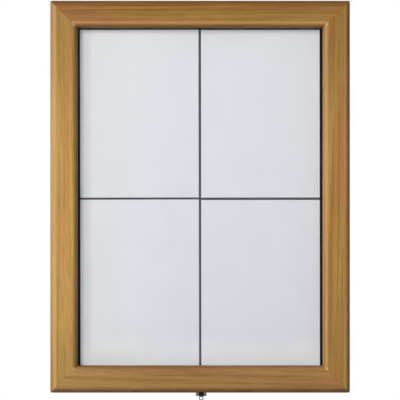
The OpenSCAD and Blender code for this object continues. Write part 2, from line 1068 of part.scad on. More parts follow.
module stay_rings() {
  steel_colour()
    at_stay_pivot()
      for (ring_start = [-bracket_thickness - ring_thickness - ring_play, ring_play])
        translate([inner_width / 2 + ring_start, 0, 0])
          rotate([0, 90, 0])
            difference() {
              cylinder(r = ring_radius, h = ring_thickness);
              translate([0, 0, -cut_past])
                cylinder(r = rod_radius, h = ring_thickness + 2 * cut_past);
            }
}

// Clip on the back panel that the hanging rod rests in
clip_thickness = 1;
clip_half_gap = rod_radius + 0.3;
clip_height = 14;
clip_share = 0.8;
clip_z = stay_pivot_z - stay_length * clip_share;
stay_clip_screw_length = 4;
stay_clip_screw_head_radius = 2.3;

module stay_clip() {
  clip_front = stay_pivot_y - rod_radius;
  half_width = clip_half_gap + clip_thickness;
  steel_colour()
    difference() {
      box_between([stay_x - half_width, clip_front, clip_z], [stay_x + half_width, back_front, clip_z + clip_height]);
      box_between(
        [stay_x - clip_half_gap, clip_front - cut_past, clip_z - cut_past],
        [stay_x + clip_half_gap, back_front - clip_thickness, clip_z + clip_height + cut_past]
      );
      at_stay_clip_screw()
        pan_screw_hole(stay_clip_screw_length);
    }
}

module at_stay_clip_screw() {
  translate([stay_x, back_front - clip_thickness, clip_z + clip_height / 2])
    shank_backward()
      children();
}

module stay_clip_screw() {
  at_stay_clip_screw()
    pan_screw(stay_clip_screw_length, stay_clip_screw_head_radius);
}

// Cradle on the door: a shallow groove takes the rod's tip, a ridge on the hinge side stops it
cradle_left = stay_x + rod_bend_radius - 2;
cradle_right = inner_width / 2 - 1;
cradle_z = hinge_z - cradle_distance;
groove_depth = 0.6;
cradle_top = door_back + cradle_floor + groove_depth;
cradle_screw_length = 14;
cradle_screw_distance = 12;
cradle_end = 5;
ridge_height = 3;

module stay_cradle() {
  dark_colour()
    difference() {
      union() {
        box_between(
          [cradle_left, door_back, cradle_z - cradle_screw_distance - cradle_end],
          [cradle_right, cradle_top, cradle_z + cradle_screw_distance + cradle_end]
        );
        box_between(
          [stay_x + rod_bend_radius, door_back, cradle_z],
          [cradle_right, cradle_top + ridge_height, cradle_z + cradle_screw_distance - cradle_end]
        );
      }
      translate([0, door_back + cradle_floor + groove_radius, cradle_z])
        rotate([0, 90, 0])
          cylinder(r = groove_radius, h = inner_width);
      translate([0, door_back + cradle_floor + groove_radius, cradle_z - groove_radius])
        cube([inner_width, groove_radius * 2, groove_radius * 2]);
      at_stay_cradle_screws()
        screw_hole(cradle_screw_length);
    }
}

module at_stay_cradle_screws() {
  for (up = [-1, 1])
    translate([(cradle_left + cradle_right) / 2, cradle_top, cradle_z + up * cradle_screw_distance])
      shank_forward()
        children();
}

module stay_cradle_screws() {
  at_stay_cradle_screws()
    wood_screw(cradle_screw_length);
}

case_top_board();
case_bottom_board();
case_left_side();
case_right_side();
corner_angles();
corner_angle_screws();
back_panel();
back_panel_screws();
display_board();
display_board_screws();
sheet_upper_left();
sheet_upper_right();
sheet_lower_left();
sheet_lower_right();
door_seal();
hinge_left_case_leaf();
hinge_right_case_leaf();
hinge_case_screws();
hinge_left_pin();
hinge_right_pin();
lock_keeper();
lock_keeper_screws();
stay_bracket();
stay_bracket_screws();
stay_clip();
stay_clip_screw();
door_top_rail();
door_bottom_rail();
door_left_stile();
door_right_stile();
corner_plates();
corner_plate_screws();
clear_pane();
pane_gasket();
glazing_bead_top();
glazing_bead_bottom();
glazing_bead_left();
glazing_bead_right();
glazing_bead_screws();
hinge_left_door_leaf();
hinge_right_door_leaf();
hinge_door_screws();
lock_barrel();
lock_nut();
stay_cradle();
stay_cradle_screws();
lock_plug();
lock_cam();
lock_cam_screw();
key();
stay_rod();
stay_rings();
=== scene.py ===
import math

import bmesh
import bpy
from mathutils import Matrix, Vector


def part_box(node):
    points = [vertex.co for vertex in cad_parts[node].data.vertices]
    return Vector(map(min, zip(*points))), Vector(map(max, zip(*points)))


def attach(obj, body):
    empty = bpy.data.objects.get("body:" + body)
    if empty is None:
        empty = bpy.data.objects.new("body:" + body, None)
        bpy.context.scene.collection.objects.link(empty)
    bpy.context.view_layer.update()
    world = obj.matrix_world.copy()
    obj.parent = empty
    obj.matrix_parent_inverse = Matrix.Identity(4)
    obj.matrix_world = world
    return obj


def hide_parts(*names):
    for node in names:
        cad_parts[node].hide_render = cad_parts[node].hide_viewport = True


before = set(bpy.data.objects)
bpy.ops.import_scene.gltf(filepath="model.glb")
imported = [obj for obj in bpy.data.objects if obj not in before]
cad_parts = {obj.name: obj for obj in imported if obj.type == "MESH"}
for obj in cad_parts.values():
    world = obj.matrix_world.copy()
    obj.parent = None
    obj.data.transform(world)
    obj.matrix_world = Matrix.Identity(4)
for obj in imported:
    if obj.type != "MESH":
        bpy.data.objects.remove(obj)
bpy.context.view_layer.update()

# The camera
# The case hangs level and is seen straight on from a few steps away. The widest part of the door, where
# its rounded edges end, sets the scale: its left, right and middle are given by pixels of a 400 by 400
# picture.
picture_size = 400
door_left_px = 50.4
door_right_px = 350.0
door_middle_px = (200.1, 196.7)
camera_distance = 3.2
outer_round = 0.009

door_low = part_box("door_left_stile")[0]
door_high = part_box("door_right_stile")[1]
door_width = door_high.x - door_low.x
door_height = door_high.z - door_low.z
pixels_per_metre = (door_right_px - door_left_px) / door_width
picture_width = picture_size / pixels_per_metre

camera_data = bpy.data.cameras.new("camera")
camera_data.angle = 2 * math.atan(picture_width / 2 / camera_distance)
camera = bpy.data.objects.new("camera", camera_data)
bpy.context.scene.collection.objects.link(camera)
camera.location = (
    (picture_size / 2 - door_middle_px[0]) / pixels_per_metre,
    door_low.y + outer_round - camera_distance,
    (door_middle_px[1] - picture_size / 2) / pixels_per_metre,
)
camera.rotation_euler = (math.radians(90), 0, 0)
bpy.context.scene.camera = camera


# The case's four boards
# Planed pine, stained on the outside and inside alike, with a rebate for the back panel. They are mitred
# at the corners, and their edges are broken with sandpaper before the stain goes on.
def tone(red, green, blue):
    """A colour as it looks, 0 to 255, made the linear colour that a socket takes."""
    linear = [(value / 255 / 12.92) if value < 11 else ((value / 255 + 0.055) / 1.055) ** 2.4
              for value in (red, green, blue)]
    return (*linear, 1.0)


def new_group(name, inputs, outputs):
    """An empty shader node group with named sockets, and its input and output nodes."""
    kinds = {"vector": "NodeSocketVector", "colour": "NodeSocketColor", "number": "NodeSocketFloat"}
    group = bpy.data.node_groups.new(name, "ShaderNodeTree")
    for label, kind in inputs:
        group.interface.new_socket(label, in_out="INPUT", socket_type=kinds[kind])
    for label, kind in outputs:
        group.interface.new_socket(label, in_out="OUTPUT", socket_type=kinds[kind])
    return group, group.nodes.new("NodeGroupInput").outputs, group.nodes.new("NodeGroupOutput").inputs


def feed(tree, socket, value):
    """Links a socket to an input, or sets the input to a plain value."""
    if isinstance(value, bpy.types.NodeSocket):
        tree.links.new(value, socket)
    else:
        socket.default_value = value


def add_node(tree, kind, feeds=None, **settings):
    """Adds a shader node with its settings, and feeds its inputs."""
    node = tree.nodes.new("ShaderNode" + kind)
    for name, value in settings.items():
        setattr(node, name, value)
    for key, value in (feeds or {}).items():
        feed(tree, node.inputs[key], value)
    return node


def calc(tree, operation, first, second=0.0, third=0.0):
    """One step of arithmetic between sockets or numbers."""
    feeds = {0: first, 1: second, 2: third}
    return add_node(tree, "Math", feeds, operation=operation).outputs[0]


def ramp(tree, value, low, high, to_low=0.0, to_high=1.0):
    """Brings a value between low and high smoothly to the range from to_low to to_high."""
    feeds = {"Value": value, "From Min": low, "From Max": high, "To Min": to_low, "To Max": to_high}
    return add_node(tree, "MapRange", feeds, interpolation_type="SMOOTHSTEP").outputs["Result"]


def blend_colours(tree, share, first, second, how="MIX"):
    """Mixes two colours by a share from 0 to 1."""
    feeds = {0: share, 6: first, 7: second}
    return add_node(tree, "Mix", feeds, data_type="RGBA", blend_type=how).outputs[2]


def noise(tree, vector, scale, stretch=(1.0, 1.0, 1.0), detail=2.0):
    """Noise between 0 and 1, finer along the axes that are stretched more."""
    scaled = add_node(tree, "Mapping", {"Vector": vector, "Scale": stretch}).outputs[0]
    return add_node(tree, "TexNoise", {"Vector": scaled, "Scale": scale, "Detail": detail}).outputs[0]


def make_pine_grain():
    """Growth rings cut along the board, fine fibres, pores, and stain that took in bands and blotches.
    The grain runs along the vector's X. Each figure gives how often it changes in a metre, along and across
    the grain; the rings' own is a share of their width."""
    group, given, made = new_group(
        "pine_grain",
        [
            ("Vector", "vector"),
            ("Pale", "colour"),
            ("Streak", "colour"),
            ("Deep", "colour"),
            ("Ring Width", "number"),
        ],
        [("Color", "colour"), ("Roughness", "number"), ("Height", "number")],
    )
    ring_figure = (0.07, 1, 1)
    fibre_figure = (30, 900, 900)
    pore_figure = (110, 3200, 3200)
    blotch_figure = (3.5, 32, 32)
    wide_band_figure = (1.6, 95, 95)
    narrow_band_figure = (2.5, 230, 230)
    blotch_strength = 0.5
    wide_band_strength = 0.65
    narrow_band_strength = 0.85
    darkest_fibre = 0.88
    palest_fibre = 1.13
    pore_darkening = 0.16
    pore_depth = 0.35
    smoothest = 0.3
    added_roughness = 0.22
    wave_units_per_turn = 20

    squeezed = add_node(group, "Mapping", {"Vector": given["Vector"], "Scale": ring_figure}).outputs[0]
    rings_per_unit = calc(group, "DIVIDE", 2 * math.pi / wave_units_per_turn, given["Ring Width"])
    wave = {
        "Vector": squeezed,
        "Scale": rings_per_unit,
        "Distortion": 3.2,
        "Detail": 2.0,
        "Detail Scale": 0.6,
    }
    rings = add_node(
        group, "TexWave", wave, wave_type="RINGS", rings_direction="X", wave_profile="SIN"
    ).outputs[1]
    late_wood = ramp(group, rings, 0.15, 0.95)
    fibres = noise(group, given["Vector"], 1.0, fibre_figure, 3.0)
    blotches = noise(group, given["Vector"], 1.0, blotch_figure, 2.0)
    wide_bands = noise(group, given["Vector"], 1.0, wide_band_figure, 1.0)
    narrow_bands = noise(group, given["Vector"], 1.0, narrow_band_figure, 2.0)
    pores = ramp(group, noise(group, given["Vector"], 1.0, pore_figure, 1.0), 0.6, 0.72)

    streaked = blend_colours(group, late_wood, given["Pale"], given["Streak"])
    blotch_share = ramp(group, blotches, 0.42, 0.78, 0.0, blotch_strength)
    stained = blend_colours(group, blotch_share, streaked, given["Deep"])
    wide_share = ramp(group, wide_bands, 0.48, 0.68, 0.0, wide_band_strength)
    banded = blend_colours(group, wide_share, stained, given["Streak"])
    narrow_share = ramp(group, narrow_bands, 0.48, 0.7, 0.0, narrow_band_strength)
    banded = blend_colours(group, narrow_share, banded, given["Deep"])
    fibre_shade = ramp(group, fibres, 0.3, 0.7, darkest_fibre, palest_fibre)
    shade = calc(group, "SUBTRACT", fibre_shade, calc(group, "MULTIPLY", pores, pore_darkening))
    grey = add_node(group, "CombineColor", {0: shade, 1: shade, 2: shade}).outputs[0]
    feed(group, made["Color"], blend_colours(group, 1.0, banded, grey, "MULTIPLY"))
    feed(group, made["Roughness"], calc(group, "MULTIPLY_ADD", fibres, added_roughness, smoothest))
    height = calc(group, "MULTIPLY_ADD", late_wood, 0.5, fibres)
    feed(group, made["Height"], calc(group, "MULTIPLY_ADD", pores, -pore_depth, height))
    return group


pine_grain = make_pine_grain()


def new_material(name):
    """A material with its Principled shader, and the socket of the Object coordinates."""
    material = bpy.data.materials.new(name)
    material.use_nodes = True
    tree = material.node_tree
    shader = tree.nodes["Principled BSDF"]
    return material, tree, shader, add_node(tree, "TexCoord").outputs["Object"]


def bump(tree, shader, height, depth):
    """Raises the surface by a height map, by this depth in metres."""
    feeds = {"Height": height, "Distance": depth, "Strength": 1.0}
    feed(tree, shader.inputs["Normal"], add_node(tree, "Bump", feeds).outputs[0])


grain_depth = 0.00012
wood_shine = 0.18
satin_coat = 0.07
satin_roughness = 0.25


def pine_material(name, node, upright, colours, ring_width, heart, lean, coat=satin_coat):
    """Stained pine for one member. The heart is where the tree's middle lies: along, behind and across."""
    material, tree, shader, place = new_material(name)
    low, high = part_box(node)
    middle = (low + high) / 2
    across = -middle.x if upright else middle.z
    turn = (0, math.radians(90 + lean) if upright else math.radians(lean), math.radians(lean))
    feeds = {"Vector": place, "Rotation": turn, "Location": (heart[0], -heart[1], -across - heart[2])}
    turned = add_node(tree, "Mapping", feeds).outputs[0]
    pale, streak, deep = colours
    feeds = {"Vector": turned, "Pale": pale, "Streak": streak, "Deep": deep, "Ring Width": ring_width}
    grain = add_node(tree, "Group", feeds, node_tree=pine_grain)
    feed(tree, shader.inputs["Base Color"], grain.outputs["Color"])
    feed(tree, shader.inputs["Roughness"], grain.outputs["Roughness"])
    bump(tree, shader, grain.outputs["Height"], grain_depth)
    shader.inputs["Specular IOR Level"].default_value = wood_shine
    shader.inputs["Coat Weight"].default_value = coat
    shader.inputs["Coat Roughness"].default_value = satin_roughness
    return material


def dress(node, material):
    """Gives a CAD node its finish."""
    cad_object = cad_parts[node]
    if not cad_object.data.materials:
        cad_object.data.materials.append(material)
    for place in cad_object.material_slots:
        place.material = material


def only(piece):
    """Selects one object and nothing else."""
    bpy.ops.object.select_all(action="DESELECT")
    piece.select_set(True)
    bpy.context.view_layer.objects.active = piece


merge_within = 0.000002


def copy_of_node(node, name):
    """A copy of a CAD node that can be worked on: its loose triangles merged, riding on nothing yet."""
    only(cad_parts[node])
    bpy.ops.object.duplicate()
    piece = bpy.context.active_object
    piece.name = name
    piece.parent = None
    for label in list(piece.keys()):
        del piece[label]
    bpy.ops.object.mode_set(mode="EDIT")
    bpy.ops.mesh.select_all(action="SELECT")
    bpy.ops.mesh.remove_doubles(threshold=merge_within)
    bpy.ops.mesh.customdata_custom_splitnormals_clear()
    bpy.ops.object.mode_set(mode="OBJECT")
    return piece


def finish_piece(piece, body, slot, material, *nodes):
    """Gives a new piece its finish and its body, in place of CAD nodes."""
    piece.data.materials.clear()
    piece.data.materials.append(material)
    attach(piece, body)
    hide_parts(*nodes)


flat_within = math.radians(0.3)
sharp_angle = math.radians(35)


def broken_edges(node, body, slot, material, width):
    """A node with its sharp edges broken by a narrow bevel, as sanding or tumbling leaves them.
    The triangles of each flat face are joined first."""
    piece = copy_of_node(node, node + "_finished")
    bpy.ops.object.mode_set(mode="EDIT")
    bpy.ops.mesh.select_all(action="SELECT")
    bpy.ops.mesh.dissolve_limited(angle_limit=flat_within)
    bpy.ops.object.mode_set(mode="OBJECT")
    bpy.ops.object.shade_smooth_by_angle(angle=sharp_angle)
    bevel = piece.modifiers.new("broken_edges", "BEVEL")
    bevel.width = width
    bevel.segments = 2
    bevel.limit_method = "ANGLE"
    bevel.angle_limit = sharp_angle
    bevel.use_clamp_overlap = False
    bevel.harden_normals = True
    bpy.ops.object.modifier_apply(modifier=bevel.name)
    finish_piece(piece, body, slot, material, node)


case_pine = (tone(186, 146, 92), tone(165, 120, 68), tone(146, 102, 54))
case_ring_width = 0.0052
sanded_edge = 0.0004
case_boards = {
    "case_top_board": (False, (0.1, 0.05, 0.02), 0.8),
    "case_bottom_board": (False, (0.6, 0.06, -0.03), -0.6),
    "case_left_side": (True, (0.3, 0.045, 0.03), 0.5),
    "case_right_side": (True, (0.9, 0.07, -0.01), -0.9),
}
for board, (upright, heart, lean) in case_boards.items():
    pine = pine_material("pine_" + board, board, upright, case_pine, case_ring_width, heart, lean)
    broken_edges(board, "case", "case_wood", pine, sanded_edge)


# Corner angles, screws and the other plated steel
# Strips of steel, cut, bent and drilled, then tumbled and zinc plated, so that every edge is slightly
# round. The plating is a little cloudy and finely scratched, bluish on the strips, warmer on the screws.
def make_plated_metal():
    """Cloudy plating with fine scratches across it."""
    group, given, made = new_group(
        "plated_metal",
        [
            ("Vector", "vector"),
            ("Bright", "colour"),
            ("Dull", "colour"),
            ("Smooth", "number"),
            ("Worn", "number"),
        ],
        [("Color", "colour"), ("Roughness", "number"), ("Height", "number")],
    )
    scratch_figure = (240, 5200, 900)
    scratch_share = 0.5
    wear_scale = 0.66
    clouds = noise(group, given["Vector"], 160.0, detail=3.0)
    scratches = noise(group, given["Vector"], 1.0, scratch_figure, 2.0)
    cloud_share = ramp(group, clouds, 0.35, 0.7)
    feed(group, made["Color"], blend_colours(group, cloud_share, given["Bright"], given["Dull"]))
    scratched = calc(group, "MULTIPLY_ADD", scratches, scratch_share, cloud_share)
    wear = calc(group, "MULTIPLY", scratched, wear_scale)
    spread = calc(group, "SUBTRACT", given["Worn"], given["Smooth"])
    feed(group, made["Roughness"], calc(group, "MULTIPLY_ADD", wear, spread, given["Smooth"]))
    feed(group, made["Height"], scratches)
    return group


plated_metal = make_plated_metal()


def metal_material(name, bright, dull, smooth, worn, scratch_depth):
    """A plated metal; smooth and worn are its lowest and highest roughness."""
    material, tree, shader, place = new_material(name)
    feeds = {"Vector": place, "Bright": bright, "Dull": dull, "Smooth": smooth, "Worn": worn}
    plating = add_node(tree, "Group", feeds, node_tree=plated_metal)
    feed(tree, shader.inputs["Base Color"], plating.outputs["Color"])
    feed(tree, shader.inputs["Roughness"], plating.outputs["Roughness"])
    shader.inputs["Metallic"].default_value = 1.0
    bump(tree, shader, plating.outputs["Height"], scratch_depth)
    return material


zinc = metal_material("zinc_plating", tone(200, 203, 207), tone(166, 170, 176), 0.22, 0.5, 0.00001)
screw_zinc = metal_material("screw_plating", tone(206, 206, 200), tone(170, 168, 158), 0.2, 0.42, 0.000008)
tumbled_edge = 0.00018

broken_edges("corner_angles", "case", "plated_steel", zinc, tumbled_edge)
screw_sets = (
    "corner_angle_screws", "back_panel_screws", "display_board_screws", "hinge_case_screws",
    "lock_keeper_screws", "stay_bracket_screws", "stay_clip_screw", "corner_plate_screws",
    "glazing_bead_screws", "hinge_door_screws", "stay_cradle_screws", "lock_cam_screw",
)
for screws in screw_sets:
    dress(screws, screw_zinc)


# Back panel
# Thin plywood, let into the rebate and screwed to the boards. Its faces are peeled veneer, so the figure
# is wide and wavy, and it is left unstained.
ply_colours = (tone(205, 176, 134), tone(190, 156, 112), tone(176, 141, 98))
veneer_figure = 0.03
veneer_heart = (0.2, 0.07, 0.06)
veneer_lean = 8
plywood = pine_material(
    "plywood", "back_panel", True, ply_colours, veneer_figure, veneer_heart, veneer_lean, coat=0.0
)
dress("back_panel", plywood)


# Display board
# A sheet of steel, powder coated dark grey with the fine orange-peel skin of such a coat. A near-black band
# is painted along its edges, outside the sheets, as painted shade. Pan-head screws hold it to the back
# panel, and the sheets lie on it.
rub_scale = 14.0


def coated_material(name, dark, light, smooth, worn, lump_scale, lump_height):
    """A lumpy coat or moulded skin in one colour, a little lighter where it is rubbed."""
    material, tree, shader, place = new_material(name)
    lumps = noise(tree, place, lump_scale, detail=2.0)
    rubbed = noise(tree, place, rub_scale, detail=4.0)
    rubbed_share = ramp(tree, rubbed, 0.45, 0.75)
    feed(tree, shader.inputs["Base Color"], blend_colours(tree, rubbed_share, dark, light))
    feed(tree, shader.inputs["Roughness"], ramp(tree, rubbed, 0.35, 0.7, worn, smooth))
    bump(tree, shader, lumps, lump_height)
    return material


board_coat = coated_material("board_coat", tone(78, 82, 85), tone(88, 92, 95), 0.45, 0.6, 900.0, 0.00004)
coat_edge = 0.00015
border_width = 0.012
border_blur = 0.0002
border_shade_black = tone(13, 10, 5)


def paint_shaded_border(material):
    """Painted shade: a near-black band along the board's edges, outside the sheets, where the moulding
    shades the board.
    """
    tree = material.node_tree
    board_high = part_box("display_board")[1]
    place = add_node(tree, "SeparateXYZ", {0: add_node(tree, "TexCoord").outputs["Object"]}).outputs
    from_side = calc(tree, "SUBTRACT", board_high.x, calc(tree, "ABSOLUTE", place["X"]))
    from_end = calc(tree, "SUBTRACT", board_high.z, calc(tree, "ABSOLUTE", place["Z"]))
    inward = calc(tree, "MINIMUM", from_side, from_end)
    share = ramp(tree, inward, border_width - border_blur, border_width + border_blur, 1.0, 0.0)
    base = tree.nodes["Principled BSDF"].inputs["Base Color"]
    # Painted shade: the board is painted near black outside the sheets.
    feed(tree, base, blend_colours(tree, share, base.links[0].from_socket, border_shade_black))


paint_shaded_border(board_coat)
broken_edges("display_board", "case", "board_paint", board_coat, coat_edge)


# Sheets of paper
# Four blank sheets of office paper, put up by hand against the board. Each is cut flat, and lifts and
# buckles a little as paper does.
sheets_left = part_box("sheet_upper_left")[0].x
sheets_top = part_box("sheet_upper_left")[1].z
sheets_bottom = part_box("sheet_lower_left")[0].z


def paper_material():
    """White paper with faint clouds and a fine tooth. It is painted whiter towards the top, to the left
    and at its foot as painted light, with a painted shadow along its left edge.
    """
    material, tree, shader, place = new_material("white_paper")
    dullest = tone(230, 230, 239)
    whitest = tone(252, 253, 255)
    edge_shadow_start = sheets_left + 0.012
    edge_shadow_end = sheets_left + 0.025
    left_start = sheets_left + 0.013
    left_end = -0.02
    left_light_most = 0.65
    top_light_most = 0.42
    foot_start = sheets_bottom + 0.012
    foot_end = sheets_bottom + 0.067
    foot_light_most = 0.65
    cloud_scale = 26.0
    cloud_most = 0.06
    tooth_scale = 2600.0
    tooth_height = 0.00001
    paper_shine = 0.3

    split = add_node(tree, "SeparateXYZ", {0: place}).outputs
    # Painted shadow along the left edge, and painted light that makes the paper whiter towards the left.
    past_painted_edge_shadow = ramp(tree, split["X"], edge_shadow_start, edge_shadow_end)
    painted_light_to_left = ramp(tree, split["X"], left_start, left_end, left_light_most, 0.0)
    painted_left_light = calc(tree, "MULTIPLY", past_painted_edge_shadow, painted_light_to_left)
    # Painted light: whiter towards the top, and whiter at the foot.
    painted_top_light = ramp(tree, split["Z"], sheets_bottom, sheets_top, 0.0, top_light_most)
    painted_foot_light = ramp(tree, split["Z"], foot_start, foot_end, foot_light_most, 0.0)
    clouds = noise(tree, place, cloud_scale, detail=5.0)
    cloud_share = ramp(tree, clouds, 0.3, 0.7, -cloud_most, cloud_most)
    painted_light_share = calc(tree, "ADD", calc(tree, "ADD", painted_left_light, painted_top_light), painted_foot_light)
    painted_light_and_clouds = calc(tree, "ADD", painted_light_share, cloud_share)
    feed(tree, shader.inputs["Base Color"], blend_colours(tree, painted_light_and_clouds, dullest, whitest))
    tooth = noise(tree, place, tooth_scale, detail=2.0)
    feed(tree, shader.inputs["Roughness"], ramp(tree, tooth, 0.3, 0.7, 0.78, 0.9))
    bump(tree, shader, tooth, tooth_height)
    shader.inputs["Specular IOR Level"].default_value = paper_shine
    return material


white_paper = paper_material()
paper_thickness = 0.0001
paper_lift = 0.0009
paper_rest = 0.25
paper_cuts = 30
paper_smooth = math.radians(40)


def select_faces(piece, wanted):
    """In edit mode, selects only the faces whose middle and normal are wanted."""
    bpy.ops.mesh.select_mode(type="FACE")
    bpy.ops.mesh.select_all(action="DESELECT")
    mesh = bmesh.from_edit_mesh(piece.data)
    for face in mesh.faces:
        face.select_set(wanted(face.calc_center_median(), face.normal))
    bmesh.update_edit_mesh(piece.data)


def paper_sheet(node, buckle_size):
    """The front of one sheet, subdivided, buckled and given its thickness."""
    sheet = copy_of_node(node, node + "_paper")
    bpy.ops.object.mode_set(mode="EDIT")
    select_faces(sheet, lambda middle, normal: normal.y > -0.5)
    bpy.ops.mesh.delete(type="FACE")
    bpy.ops.mesh.select_all(action="SELECT")
    bpy.ops.mesh.tris_convert_to_quads()
    bpy.ops.mesh.subdivide(number_cuts=paper_cuts)
    bpy.ops.object.mode_set(mode="OBJECT")
    clouds = bpy.data.textures.new(node + "_buckle", "CLOUDS")
    clouds.noise_scale = buckle_size
    clouds.noise_depth = 1
    lift = sheet.modifiers.new("lift", "DISPLACE")
    lift.texture = clouds
    lift.texture_coords = "LOCAL"
    lift.direction = "Y"
    lift.strength = -paper_lift
    lift.mid_level = paper_rest
    bpy.ops.object.modifier_apply(modifier=lift.name)
    wall = sheet.modifiers.new("thickness", "SOLIDIFY")
    wall.thickness = paper_thickness
    wall.offset = 1
    bpy.ops.object.modifier_apply(modifier=wall.name)
    bpy.ops.object.shade_smooth_by_angle(angle=paper_smooth)
    finish_piece(sheet, "case", "paper", white_paper, node)


sheet_buckles = {
    "sheet_upper_left": 0.13,
    "sheet_upper_right": 0.17,
    "sheet_lower_left": 0.15,
    "sheet_lower_right": 0.12,
}
for node, buckle_size in sheet_buckles.items():
    paper_sheet(node, buckle_size)


# Door seal
# Black foam tape, stuck to the case's front edge and pressed flat by the shut door, which leaves its
# edges round. It is full of small open cells.
def foam_material():
    """Black foam with open cells and a little dust."""
    material, tree, shader, place = new_material("black_foam")
    clean = tone(26, 26, 27)
    dusty = tone(44, 43, 41)
    cell_scale = 1500.0
    cell_depth = 0.00025
    cells = add_node(tree, "TexVoronoi", {"Vector": place, "Scale": cell_scale}).outputs["Distance"]
    dust_share = ramp(tree, noise(tree, place, 60.0, detail=3.0), 0.4, 0.8)
    feed(tree, shader.inputs["Base Color"], blend_colours(tree, dust_share, clean, dusty))
    feed(tree, shader.inputs["Roughness"], ramp(tree, cells, 0.0, 0.6, 0.95, 0.8))
    bump(tree, shader, cells, cell_depth)
    return material


foam_edge = 0.0006
broken_edges("door_seal", "case", "seal_foam", foam_material(), foam_edge)


# Hinges
# Two butt hinges of rolled steel: each leaf is bent round its pin in turns with the other. The leaves are
# screwed into the case's top board and the door's top rail.
for side in ("left", "right"):
    broken_edges(f"hinge_{side}_case_leaf", "case", "plated_steel", zinc, tumbled_edge)
    broken_edges(f"hinge_{side}_door_leaf", "door", "plated_steel", zinc, tumbled_edge)
    broken_edges(f"hinge_{side}_pin", "case", "plated_steel", screw_zinc, tumbled_edge)


# Keeper, stay bracket and clip
# Small parts punched from strip and bent: the keeper that the lock's hook turns in behind, the plate that
# carries the stay, and the spring clip that holds the hanging rod.
for fitting in ("lock_keeper", "stay_bracket", "stay_clip"):
    broken_edges(fitting, "case", "plated_steel", zinc, tumbled_edge)


# Door rails and stiles
# Four lengths of pine moulding with rounded edges, glued at the mitres, stained and given a satin coat.
# Each comes from another plank, so each has its own tone and grain, and the stain has gathered in the
# joints.
def make_mitre_marks():
    """Where the mitres run, and how far a point is in from the door's outer edge and behind its front."""
    group, given, made = new_group(
        "mitre_marks",
        [("Vector", "vector"), ("Half Width", "number"), ("Half Height", "number"), ("Front", "number")],
        [("Joint", "number"), ("Near Joint", "number"), ("Depth In", "number"), ("Behind", "number")],
    )
    joint_line = 0.0002
    stain_reach = 0.0011
    chip_reach = 0.005
    split = add_node(group, "SeparateXYZ", {0: given["Vector"]}).outputs
    from_side = calc(group, "SUBTRACT", given["Half Width"], calc(group, "ABSOLUTE", split["X"]))
    from_end = calc(group, "SUBTRACT", given["Half Height"], calc(group, "ABSOLUTE", split["Z"]))
    off_joint = calc(group, "ABSOLUTE", calc(group, "SUBTRACT", from_side, from_end))
    feed(group, made["Joint"], ramp(group, off_joint, joint_line, stain_reach, 1.0, 0.0))
    feed(group, made["Near Joint"], ramp(group, off_joint, 0.0, chip_reach, 1.0, 0.0))
    feed(group, made["Depth In"], calc(group, "MINIMUM", from_side, from_end))
    feed(group, made["Behind"], calc(group, "SUBTRACT", split["Y"], given["Front"]))
    return group


mitre_marks = make_mitre_marks()
moulding_width = door_high.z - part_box("door_top_rail")[0].z
inner_round = 0.012
round_start = moulding_width - inner_round
outer_ridge = 0.0085
ridge_reach = 0.0045
crest_reach = 0.004
joint_share = 0.25
chip_share = 0.65
joint_stain = tone(96, 66, 34)
# Bare wood for the chips, and the pale colour of the painted highlights on crests and ridges.
bare_wood_and_highlight = tone(216, 172, 116)
# Stain, also used as painted shade along the moulding's edges.
stain_and_shade_colour = tone(84, 48, 4)


def band_share(tree, value, middle, reach, most):
    """Most in the middle of a band, and nothing from its reach on."""
    off_middle = calc(tree, "ABSOLUTE", calc(tree, "SUBTRACT", value, middle))
    return ramp(tree, off_middle, 0.0, reach, most, 0.0)


